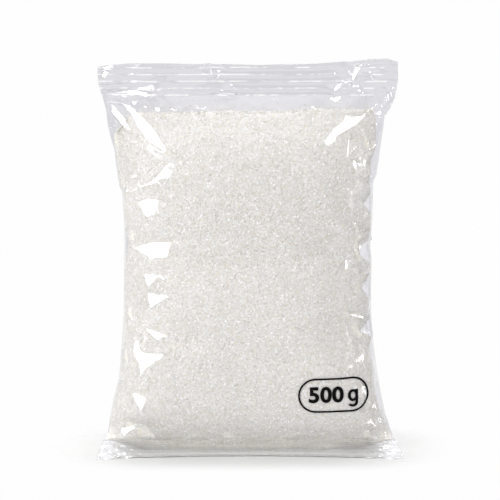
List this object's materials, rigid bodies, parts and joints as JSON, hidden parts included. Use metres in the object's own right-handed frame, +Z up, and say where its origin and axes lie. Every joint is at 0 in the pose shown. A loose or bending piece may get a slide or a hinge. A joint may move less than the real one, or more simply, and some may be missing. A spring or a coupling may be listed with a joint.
{
  "type": "bag of sugar",
  "caption": "Upright pillow bag of clear film filled with white sugar, crimped along its top and along a bottom seal that is folded forward under the settled foot.",
  "frame": {"origin": "on the floor, under the middle of the whole outline", "axes": "+Z up; the front, with the weight mark, faces -Y; +X is on the right seen from the front"},
  "size_m": [0.138, 0.0552, 0.1779],
  "materials": {
    "bag": "white sugar seen through clear glossy film",
    "film": "clear glossy wrapping film with sharp creases",
    "sugar": "fine white sugar crystals with small sparkles",
    "print": "black ink printed on the film"
  },
  "bodies": {
    "root": {"sugar_bag": "bag"}
  },
  "joints": []
}
